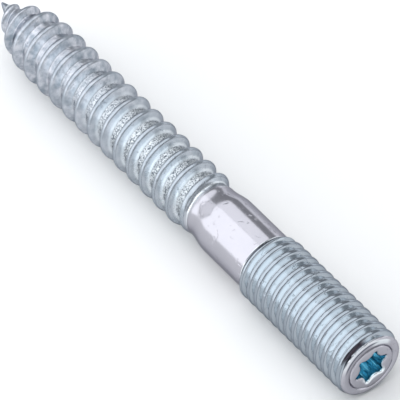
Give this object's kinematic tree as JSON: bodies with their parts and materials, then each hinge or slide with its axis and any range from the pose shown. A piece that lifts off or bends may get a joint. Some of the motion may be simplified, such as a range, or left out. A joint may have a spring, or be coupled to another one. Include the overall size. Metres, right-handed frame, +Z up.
{
  "type": "hanger bolt",
  "caption": "Zinc-plated steel hanger bolt: wood thread with a gimlet point, thinner neck, plain shank and machine thread, with a six-lobe drive socket in the end face.",
  "frame": {"origin": "on the bolt's axis, at the plane of the end face's raised lip, in the mouth of the drive socket", "axes": "+X along the axis and out of the drive socket, so the point is towards -X; +Z up as the bolt lies; +Y completes a right-handed set"},
  "size_m": [0.065, 0.008, 0.008],
  "materials": {
    "zinc_plated_steel": "bright blue-passivated zinc plating"
  },
  "bodies": {
    "root": {"hanger_bolt": "zinc_plated_steel"}
  },
  "joints": []
}
